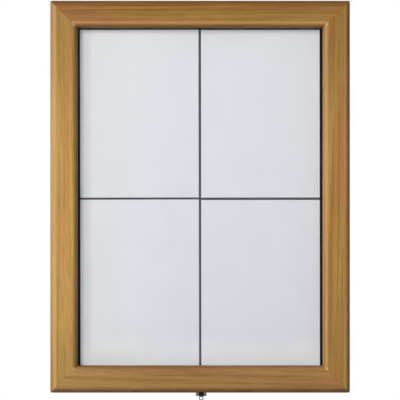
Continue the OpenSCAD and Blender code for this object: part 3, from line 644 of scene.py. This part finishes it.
def add_door_marks(material, looks):
    """Stain that took unevenly along the member; edges darker with stain and painted shade, most on the
    sides away from the lamps; painted highlights as pale ridges where the edges turn over; and mitres
    with stain in the joint and bare wood on their inner corners."""
    spot_core = 0.06
    spot_reach = 0.33
    face_depth = 0.0075
    side_depth = 0.015
    side_share = 0.1
    rim_start = round_start + 0.005
    rim_full = round_start + 0.011
    chip_start = round_start + 0.003
    chip_full = round_start + 0.0055
    chip_fading = round_start + 0.0075
    chip_end = round_start + 0.0095

    tree = material.node_tree
    shader = tree.nodes["Principled BSDF"]
    place = tree.nodes["Texture Coordinate"].outputs["Object"]
    plain_colour = shader.inputs["Base Color"].links[0].from_socket
    feeds = {
        "Vector": place,
        "Half Width": door_width / 2,
        "Half Height": door_height / 2,
        "Front": door_low.y,
    }
    marks = add_node(tree, "Group", feeds, node_tree=mitre_marks).outputs
    depth = marks["Depth In"]

    along = add_node(tree, "SeparateXYZ", {0: place}).outputs["Z" if looks["upright"] else "X"]
    off_spot = calc(tree, "ABSOLUTE", calc(tree, "SUBTRACT", along, looks["spot"]))
    spot_share = ramp(tree, off_spot, spot_core, spot_reach, looks["spot_stain"], looks["far_stain"])
    stained = blend_colours(tree, spot_share, plain_colour, stain_and_shade_colour)

    # Painted highlights: the inner crest and the outer ridge are painted pale where light from the left
    # catches them.
    painted_inner_highlight = band_share(tree, depth, round_start + looks["crest_in"], crest_reach, looks["crest_highlight_share"])
    ridge = band_share(tree, depth, outer_ridge, ridge_reach, looks["ridge_highlight_share"])
    worn = blend_colours(tree, calc(tree, "MAXIMUM", painted_inner_highlight, ridge), stained, bare_wood_and_highlight)

    # Stain and painted shade: the edges are darkened, most on the members whose edges face away from the
    # lamps.
    on_face = ramp(tree, marks["Behind"], face_depth, side_depth, 1.0, side_share)
    outer_edge = ramp(tree, depth, 0.0, looks["outer_width"], looks["outer_stain_and_shade"], 0.0)
    outer_rim = calc(tree, "MULTIPLY", outer_edge, on_face)
    inner_rim = ramp(tree, depth, rim_start, rim_full, 0.0, looks["inner_stain_and_shade"])
    uneven = ramp(tree, noise(tree, place, 40.0, detail=3.0), 0.3, 0.7, 0.85, 1.0)
    rim_stain_and_shade = calc(tree, "MULTIPLY", calc(tree, "MAXIMUM", outer_rim, inner_rim), uneven)
    rimmed = blend_colours(tree, rim_stain_and_shade, worn, stain_and_shade_colour)

    in_joint = calc(tree, "MULTIPLY", marks["Joint"], joint_share)
    joined = blend_colours(tree, in_joint, rimmed, joint_stain)
    past_crest = ramp(tree, depth, chip_start, chip_full)
    before_window = ramp(tree, depth, chip_fading, chip_end, 1.0, 0.0)
    on_corner = ramp(tree, marks["Near Joint"], 0.2, 0.8, 0.0, chip_share)
    chipped = calc(tree, "MULTIPLY", calc(tree, "MULTIPLY", past_crest, before_window), on_corner)
    feed(tree, shader.inputs["Base Color"], blend_colours(tree, chipped, joined, bare_wood_and_highlight))


door_ring_width = 0.0056
glued_edge = 0.00012
# Outer and inner stain-and-shade are partly painted shade, heaviest on the right stile and bottom rail;
# crest and ridge shares are painted highlights.
door_members = {
    "door_top_rail": {
        "upright": False,
        "tones": (tone(167, 126, 65), tone(165, 114, 69), tone(138, 101, 48)),
        "heart": (0.15, 0.034, 0.006),
        "lean": 0.5,
        "outer_stain_and_shade": 0.52,
        "outer_width": 0.014,
        "inner_stain_and_shade": 0.7,
        "crest_in": 0.0035,
        "crest_highlight_share": 0.35,
        "ridge_highlight_share": 0.0,
        "spot": 0.25,
        "spot_stain": 0.0,
        "far_stain": 0.1,
    },
    "door_bottom_rail": {
        "upright": False,
        "tones": (tone(171, 133, 80), tone(171, 124, 82), tone(146, 107, 54)),
        "heart": (0.75, 0.04, -0.012),
        "lean": -0.4,
        "outer_stain_and_shade": 1.0,
        "outer_width": 0.0128,
        "inner_stain_and_shade": 0.3,
        "crest_in": 0.0015,
        "crest_highlight_share": 0.0,
        "ridge_highlight_share": 0.0,
        "spot": 0.05,
        "spot_stain": 0.15,
        "far_stain": 0.0,
    },
    "door_left_stile": {
        "upright": True,
        "tones": (tone(197, 158, 89), tone(194, 150, 89), tone(171, 128, 66)),
        "heart": (0.4, 0.036, 0.01),
        "lean": 0.7,
        "outer_stain_and_shade": 0.3,
        "outer_width": 0.005,
        "inner_stain_and_shade": 0.65,
        "crest_in": 0.003,
        "crest_highlight_share": 0.05,
        "ridge_highlight_share": 0.5,
        "spot": 0.0,
        "spot_stain": 0.0,
        "far_stain": 0.32,
    },
    "door_right_stile": {
        "upright": True,
        "tones": (tone(178, 140, 76), tone(177, 128, 73), tone(154, 112, 56)),
        "heart": (1.1, 0.03, -0.008),
        "lean": -0.6,
        "outer_stain_and_shade": 1.0,
        "outer_width": 0.0098,
        "inner_stain_and_shade": 0.1,
        "crest_in": 0.0072,
        "crest_highlight_share": 0.37,
        "ridge_highlight_share": 0.2,
        "spot": 0.0,
        "spot_stain": 0.0,
        "far_stain": 0.25,
    },
}
for member, looks in door_members.items():
    pine = pine_material(
        "pine_" + member, member, looks["upright"], looks["tones"], door_ring_width,
        looks["heart"], looks["lean"],
    )
    add_door_marks(pine, looks)
    broken_edges(member, "door", "door_wood", pine, glued_edge)


# Corner plates
# Flat angles cut from steel sheet and zinc plated, let into the back of the mitres and screwed down. They
# hold the glued corners together.
broken_edges("corner_plates", "door", "plated_steel", zinc, tumbled_edge)


# Clear pane and its gasket
# A sheet of clear acrylic on a thin black rubber strip. Light falls through it on the paper, so shadow
# and diffuse rays pass it unbent.
def pane_material():
    """Clear acrylic with the faintest smears."""
    material, tree, shader, place = new_material("clear_acrylic")
    acrylic_tint = (0.985, 0.992, 0.99, 1)
    acrylic_index = 1.49
    passed_light = (0.97, 0.98, 0.98, 1)
    shader.inputs["Base Color"].default_value = acrylic_tint
    shader.inputs["Transmission Weight"].default_value = 1.0
    shader.inputs["IOR"].default_value = acrylic_index
    smears = noise(tree, place, 9.0, detail=5.0)
    feed(tree, shader.inputs["Roughness"], ramp(tree, smears, 0.5, 0.8, 0.0, 0.02))
    path = add_node(tree, "LightPath").outputs
    passing = calc(tree, "MAXIMUM", path["Is Shadow Ray"], path["Is Diffuse Ray"])
    through = add_node(tree, "BsdfTransparent", {"Color": passed_light})
    mixed = add_node(tree, "MixShader", {0: passing, 1: shader.outputs[0], 2: through.outputs[0]})
    feed(tree, tree.nodes["Material Output"].inputs["Surface"], mixed.outputs[0])
    return material


dress("clear_pane", pane_material())
black_rubber = coated_material(
    "black_rubber", tone(24, 21, 17), tone(35, 31, 26), 0.5, 0.7, 700.0, 0.00003
)
dress("pane_gasket", black_rubber)


# Glazing beads
# Slim strips of the same pine behind the pane, with sharp planed edges, screwed to the moulding so that
# the pane can be changed.
bead_tones = (tone(188, 148, 92), tone(166, 122, 68), tone(150, 108, 58))
beads = {
    "glazing_bead_top": (False, (0.25, 0.02, 0.01), 0.4),
    "glazing_bead_bottom": (False, (0.55, 0.03, -0.01), -0.5),
    "glazing_bead_left": (True, (0.8, 0.025, 0.008), 0.3),
    "glazing_bead_right": (True, (1.3, 0.02, -0.012), -0.3),
}
for bead, (upright, heart, lean) in beads.items():
    dress(bead, pine_material("pine_" + bead, bead, upright, bead_tones, case_ring_width, heart, lean))


# Lock
# A turned brass barrel, threaded and chromed, with a round flange under the door's bottom rail. A nut in
# the pocket clamps it, and the plug turns in it with the hooked cam screwed to its end.
# Painted shade: the chrome is given a far darker colour than chrome has.
chrome = metal_material("lock_chrome", tone(124, 124, 118), tone(92, 92, 86), 0.12, 0.3, 0.000004)

barrel_low, barrel_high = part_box("lock_barrel")
plug_low, plug_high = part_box("lock_plug")
lock_axis = (barrel_low + barrel_high) / 2
flange_radius = (barrel_high.x - barrel_low.x) / 2
flange_top = door_low.z
flange_round = 0.0012
flange_back_edge = 0.0003
barrel_radius = 0.008
thread_depth = 0.0005
thread_pitch = 0.001
thread_start = flange_top + 0.003
plain_end = 0.001
plug_play = 0.00012
bore_radius = (plug_high.x - plug_low.x + plug_play) / 2
bore_mouth_width = 0.0005
bore_mouth_depth = 0.0008
nut_edge = 0.0003
plug_edge = 0.00015
turned_sides = 64
round_steps = 5
weld_within = 0.000001


def circle_at(radius, height):
    """Adds a ring of edges round the lock's axis and goes into edit mode with it selected."""
    middle = (lock_axis.x, lock_axis.y, height)
    bpy.ops.object.select_all(action="DESELECT")
    bpy.ops.mesh.primitive_circle_add(
        vertices=turned_sides, radius=radius, fill_type="NOTHING", location=middle
    )
    bpy.ops.object.mode_set(mode="EDIT")
    bpy.ops.mesh.select_mode(type="VERT")
    bpy.ops.mesh.select_all(action="SELECT")
    return bpy.context.active_object


def next_ring(rise, scale):
    """Carries the selected ring of edges up and widens or narrows it."""
    bpy.ops.mesh.extrude_region_move(TRANSFORM_OT_translate={"value": (0, 0, rise)})
    bpy.ops.transform.resize(value=(scale, scale, 1), center_override=(lock_axis.x, lock_axis.y, 0))


def turn_profile(profile, name):
    """Turns a closed profile of (radius, height) points on the lock's axis."""
    piece = circle_at(*profile[0])
    piece.name = name
    radius, height = profile[0]
    for next_radius, next_height in profile[1:] + profile[:1]:
        next_ring(next_height - height, next_radius / radius)
        radius, height = next_radius, next_height
    bpy.ops.mesh.select_all(action="SELECT")
    bpy.ops.mesh.remove_doubles(threshold=weld_within)
    bpy.ops.mesh.normals_make_consistent(inside=False)
    bpy.ops.object.mode_set(mode="OBJECT")
    bpy.ops.object.transform_apply(location=True, rotation=True, scale=True)
    bpy.ops.object.shade_smooth_by_angle(angle=sharp_angle)
    return piece


def barrel_profile():
    """From the bore's mouth round the flange, up the thread, and down the bore again."""
    thread_root = barrel_radius - thread_depth
    round_middle = (flange_radius - flange_round, barrel_low.z + flange_round)
    points = [
        (bore_radius, barrel_low.z + bore_mouth_depth),
        (bore_radius + bore_mouth_width, barrel_low.z),
    ]
    for step in range(round_steps + 1):
        angle = math.radians(90) * step / round_steps
        points.append((
            round_middle[0] + flange_round * math.sin(angle),
            round_middle[1] - flange_round * math.cos(angle),
        ))
    points.append((flange_radius, flange_top - flange_back_edge))
    points.append((flange_radius - flange_back_edge, flange_top))
    points.append((thread_root, flange_top))
    points.append((thread_root, thread_start))
    turns = int((barrel_high.z - plain_end - thread_start) / thread_pitch)
    for turn in range(turns):
        root = thread_start + turn * thread_pitch
        points.append((barrel_radius, root + thread_pitch / 2))
        points.append((thread_root, root + thread_pitch))
    points.append((thread_root, barrel_high.z))
    points.append((bore_radius, barrel_high.z))
    return points


barrel = turn_profile(barrel_profile(), "lock_barrel_turned")
finish_piece(barrel, "door", "lock_chrome", chrome, "lock_barrel")
broken_edges("lock_nut", "door", "plated_steel", zinc, nut_edge)
broken_edges("lock_plug", "lock", "lock_chrome", chrome, plug_edge)
broken_edges("lock_cam", "lock", "plated_steel", zinc, tumbled_edge)


# Key
# A small flat key: a blade with notches cut in both edges, and a looped bow of round wire that hangs
# below the flange. Both are nickel plated, painted much darker than nickel as painted shade.
key_plating_painted_dark = metal_material("key_plating_painted_dark", tone(84, 84, 78), tone(58, 58, 54), 0.2, 0.4, 0.000008)
key_low, key_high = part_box("key")
bow_wire = 0.0016
bow_width = 0.010
bow_height = 0.0077
bow_squareness = 0.75
bow_steps = 16
wire_steps = 6
blade_width = 0.0068
blade_thickness = 0.002
blade_edge = 0.00015
key_turn = math.radians(45)
notch_depths = (0.0009, 0.0015, 0.0006, 0.0012, 0.0008)
notch_pitch = 0.0024
plain_tip = 0.0035


def key_bow():
    """A wire bent to a loop with nearly straight sides."""
    bpy.ops.object.select_all(action="DESELECT")
    bow_middle = (lock_axis.x, lock_axis.y, key_low.z + bow_height / 2)
    bpy.ops.curve.primitive_bezier_circle_add(radius=1, location=bow_middle)
    bow = bpy.context.active_object
    half_width = (bow_width - bow_wire) / 2
    half_height = (bow_height - bow_wire) / 2
    for point in bow.data.splines[0].bezier_points:
        across = point.co.x
        up = point.co.y
        side_step = up * bow_squareness
        up_step = -across * bow_squareness
        point.handle_left_type = "FREE"
        point.handle_right_type = "FREE"
        point.co = (0, across * half_width, up * half_height)
        point.handle_left = (0, (across - side_step) * half_width, (up - up_step) * half_height)
        point.handle_right = (0, (across + side_step) * half_width, (up + up_step) * half_height)
    bow.data.resolution_u = bow_steps
    bow.data.bevel_depth = bow_wire / 2
    bow.data.bevel_resolution = wire_steps
    bpy.ops.object.convert(target="MESH")
    bpy.ops.object.mode_set(mode="EDIT")
    bpy.ops.mesh.select_all(action="SELECT")
    bpy.ops.mesh.normals_make_consistent(inside=False)
    bpy.ops.object.mode_set(mode="OBJECT")
    return bow


def key_blade():
    """A flat bar from the bow upward, with notches in both edges."""
    bpy.ops.object.select_all(action="DESELECT")
    blade_bottom = key_low.z + bow_height - bow_wire / 2
    blade_length = key_high.z - blade_bottom
    bpy.ops.mesh.primitive_cube_add(
        size=1, location=(lock_axis.x, lock_axis.y, blade_bottom + blade_length / 2),
        scale=(blade_thickness, blade_width, blade_length),
    )
    blade = bpy.context.active_object
    bpy.ops.object.transform_apply(location=False, rotation=False, scale=True)
    bpy.ops.object.mode_set(mode="EDIT")
    first_notch = blade_length / 2 - plain_tip
    for number in range(2 * len(notch_depths) + 1):
        cut = first_notch - number * notch_pitch / 2
        bpy.ops.mesh.select_all(action="SELECT")
        cut_place = blade.matrix_world @ Vector((0, 0, cut))
        bpy.ops.mesh.bisect(plane_co=cut_place, plane_no=(0, 0, 1), use_fill=False)
    for number, depth in enumerate(notch_depths):
        bottom_of_notch = first_notch - (number + 0.5) * notch_pitch
        bpy.ops.mesh.select_mode(type="VERT")
        bpy.ops.mesh.select_all(action="DESELECT")
        mesh = bmesh.from_edit_mesh(blade.data)
        for corner in mesh.verts:
            corner.select_set(abs(corner.co.z - bottom_of_notch) < notch_pitch / 8)
        mesh.select_flush(True)
        bmesh.update_edit_mesh(blade.data)
        narrowing = (blade_width / 2 - depth) / (blade_width / 2)
        bpy.ops.transform.resize(value=(1, narrowing, 1))
    bpy.ops.object.mode_set(mode="OBJECT")
    bevel = blade.modifiers.new("broken_edges", "BEVEL")
    bevel.width = blade_edge
    bevel.segments = 2
    bpy.ops.object.modifier_apply(modifier=bevel.name)
    return blade


bow = key_bow()
blade = key_blade()
only(bow)
blade.select_set(True)
bpy.ops.object.join()
key = bpy.context.active_object
key.name = "key_cut_and_looped"
bpy.ops.object.transform_apply(location=True, rotation=True, scale=True)
bpy.ops.object.mode_set(mode="EDIT")
bpy.ops.mesh.select_all(action="SELECT")
key_middle = (lock_axis.x, lock_axis.y, 0)
bpy.ops.transform.rotate(value=-key_turn, orient_axis="Z", center_override=key_middle)
bpy.ops.object.mode_set(mode="OBJECT")
bpy.ops.object.shade_smooth_by_angle(angle=sharp_angle)
finish_piece(key, "key", "key_steel", key_plating_painted_dark, "key")


# Stay and its cradle
# A steel rod bent at both ends, bright zinc plated, with two rings pushed on to keep it in its bracket.
# Its free end drops in the groove of a moulded black cradle on the door.
dress("stay_rod", zinc)
broken_edges("stay_rings", "stay", "plated_steel", zinc, tumbled_edge)
black_plastic = coated_material(
    "black_plastic", tone(30, 31, 33), tone(44, 45, 47), 0.38, 0.55, 1200.0, 0.00002
)
moulded_edge = 0.0003
broken_edges("stay_cradle", "door", "cradle_plastic", black_plastic, moulded_edge)


# Floor, light and surroundings
# A pale round floor below the case, and four soft lamps: in front, raking over it from the left, and two
# behind. Far from the case the floor is as white as the background, and it can be looked through from
# below and in a reflection. The room is darker behind the camera, and metal reflects that.
floor_height = -0.55
floor_radius = 1.5
floor_grey = (0.9, 0.9, 0.9, 1)
floor_roughness = 0.9
shadow_reach = 0.4
white_from = 0.75
plain_white = (1, 1, 1, 1)


def floor_material():
    """Pale and matt under the case, plain white farther out, and not there from below or in a mirror."""
    material, tree, shader, place = new_material("pale_floor")
    shader.inputs["Base Color"].default_value = floor_grey
    shader.inputs["Roughness"].default_value = floor_roughness
    away = add_node(tree, "VectorMath", {0: place}, operation="LENGTH").outputs["Value"]
    path = add_node(tree, "LightPath").outputs
    seen = calc(tree, "MAXIMUM", path["Is Camera Ray"], path["Is Transmission Ray"])
    share = calc(tree, "MULTIPLY", seen, ramp(tree, away, shadow_reach, white_from))
    glow = add_node(tree, "Emission", {"Color": plain_white, "Strength": 1.0})
    mixed = add_node(tree, "MixShader", {0: share, 1: shader.outputs[0], 2: glow.outputs[0]})
    underside = add_node(tree, "NewGeometry").outputs["Backfacing"]
    from_below = calc(tree, "MULTIPLY", underside, path["Is Camera Ray"])
    mirrored = calc(tree, "MINIMUM", path["Glossy Depth"], 1.0)
    unseen = calc(tree, "MAXIMUM", from_below, mirrored)
    through = add_node(tree, "BsdfTransparent")
    shown = add_node(tree, "MixShader", {0: unseen, 1: mixed.outputs[0], 2: through.outputs[0]})
    feed(tree, tree.nodes["Material Output"].inputs["Surface"], shown.outputs[0])
    return material


bpy.ops.object.select_all(action="DESELECT")
bpy.ops.mesh.primitive_circle_add(
    vertices=96, radius=floor_radius, fill_type="NGON", location=(0, 0, 0)
)
floor = bpy.context.active_object
floor.name = "floor"
floor.data.materials.append(floor_material())
floor.location.z = floor_height


def soft_lamp(name, distance, turn_left, height, size, power):
    """A square lamp that looks at the case, turned this many degrees to the left of its front."""
    lamp_data = bpy.data.lights.new(name, "AREA")
    lamp_data.shape = "SQUARE"
    lamp_data.size = size
    lamp_data.energy = power
    lamp = bpy.data.objects.new(name, lamp_data)
    bpy.context.scene.collection.objects.link(lamp)
    turn = math.radians(turn_left)
    lamp.location = (-distance * math.sin(turn), -distance * math.cos(turn), height)
    lamp.rotation_euler = (-Vector(lamp.location)).to_track_quat("-Z", "Y").to_euler()
    lamp.visible_glossy = False
    lamp.visible_transmission = False
    return lamp


soft_lamp("front_lamp", distance=3.0, turn_left=11, height=0.45, size=1.1, power=62.5)
side_lamp = soft_lamp("side_lamp", distance=3.2, turn_left=74, height=0.4, size=1.3, power=38.0)
side_lamp.visible_glossy = True
soft_lamp("right_lamp", distance=3.2, turn_left=-112, height=0.4, size=1.6, power=16.0)
soft_lamp("back_lamp", distance=4.0, turn_left=180, height=0.9, size=2.4, power=120.0)

room_light = 0.12
dark_side_light = 0.08
dark_until = -0.75
light_from = -0.2
world = bpy.data.worlds.new("pale_room")
world.use_nodes = True
bpy.context.scene.world = world
room = world.node_tree
background = room.nodes["Background"]
direction = add_node(room, "SeparateXYZ", {0: add_node(room, "TexCoord").outputs["Generated"]}).outputs
path = add_node(room, "LightPath").outputs
dimming = ramp(room, direction["Y"], dark_until, light_from, 1.0 - dark_side_light, 0.0)
reflected = calc(room, "MINIMUM", path["Glossy Depth"], 1.0)
straight = calc(room, "MAXIMUM", path["Is Camera Ray"], path["Is Transmission Ray"])
seen = calc(room, "MAXIMUM", straight, path["Is Glossy Ray"])
shown = calc(room, "SUBTRACT", 1.0, calc(room, "MULTIPLY", reflected, dimming))
seen_light = calc(room, "MULTIPLY", seen, shown)
unseen_light = calc(room, "MULTIPLY", calc(room, "SUBTRACT", 1.0, seen), room_light)
background.inputs["Color"].default_value = plain_white
feed(room, background.inputs["Strength"], calc(room, "ADD", seen_light, unseen_light))

bpy.context.scene.view_settings.view_transform = "Standard"
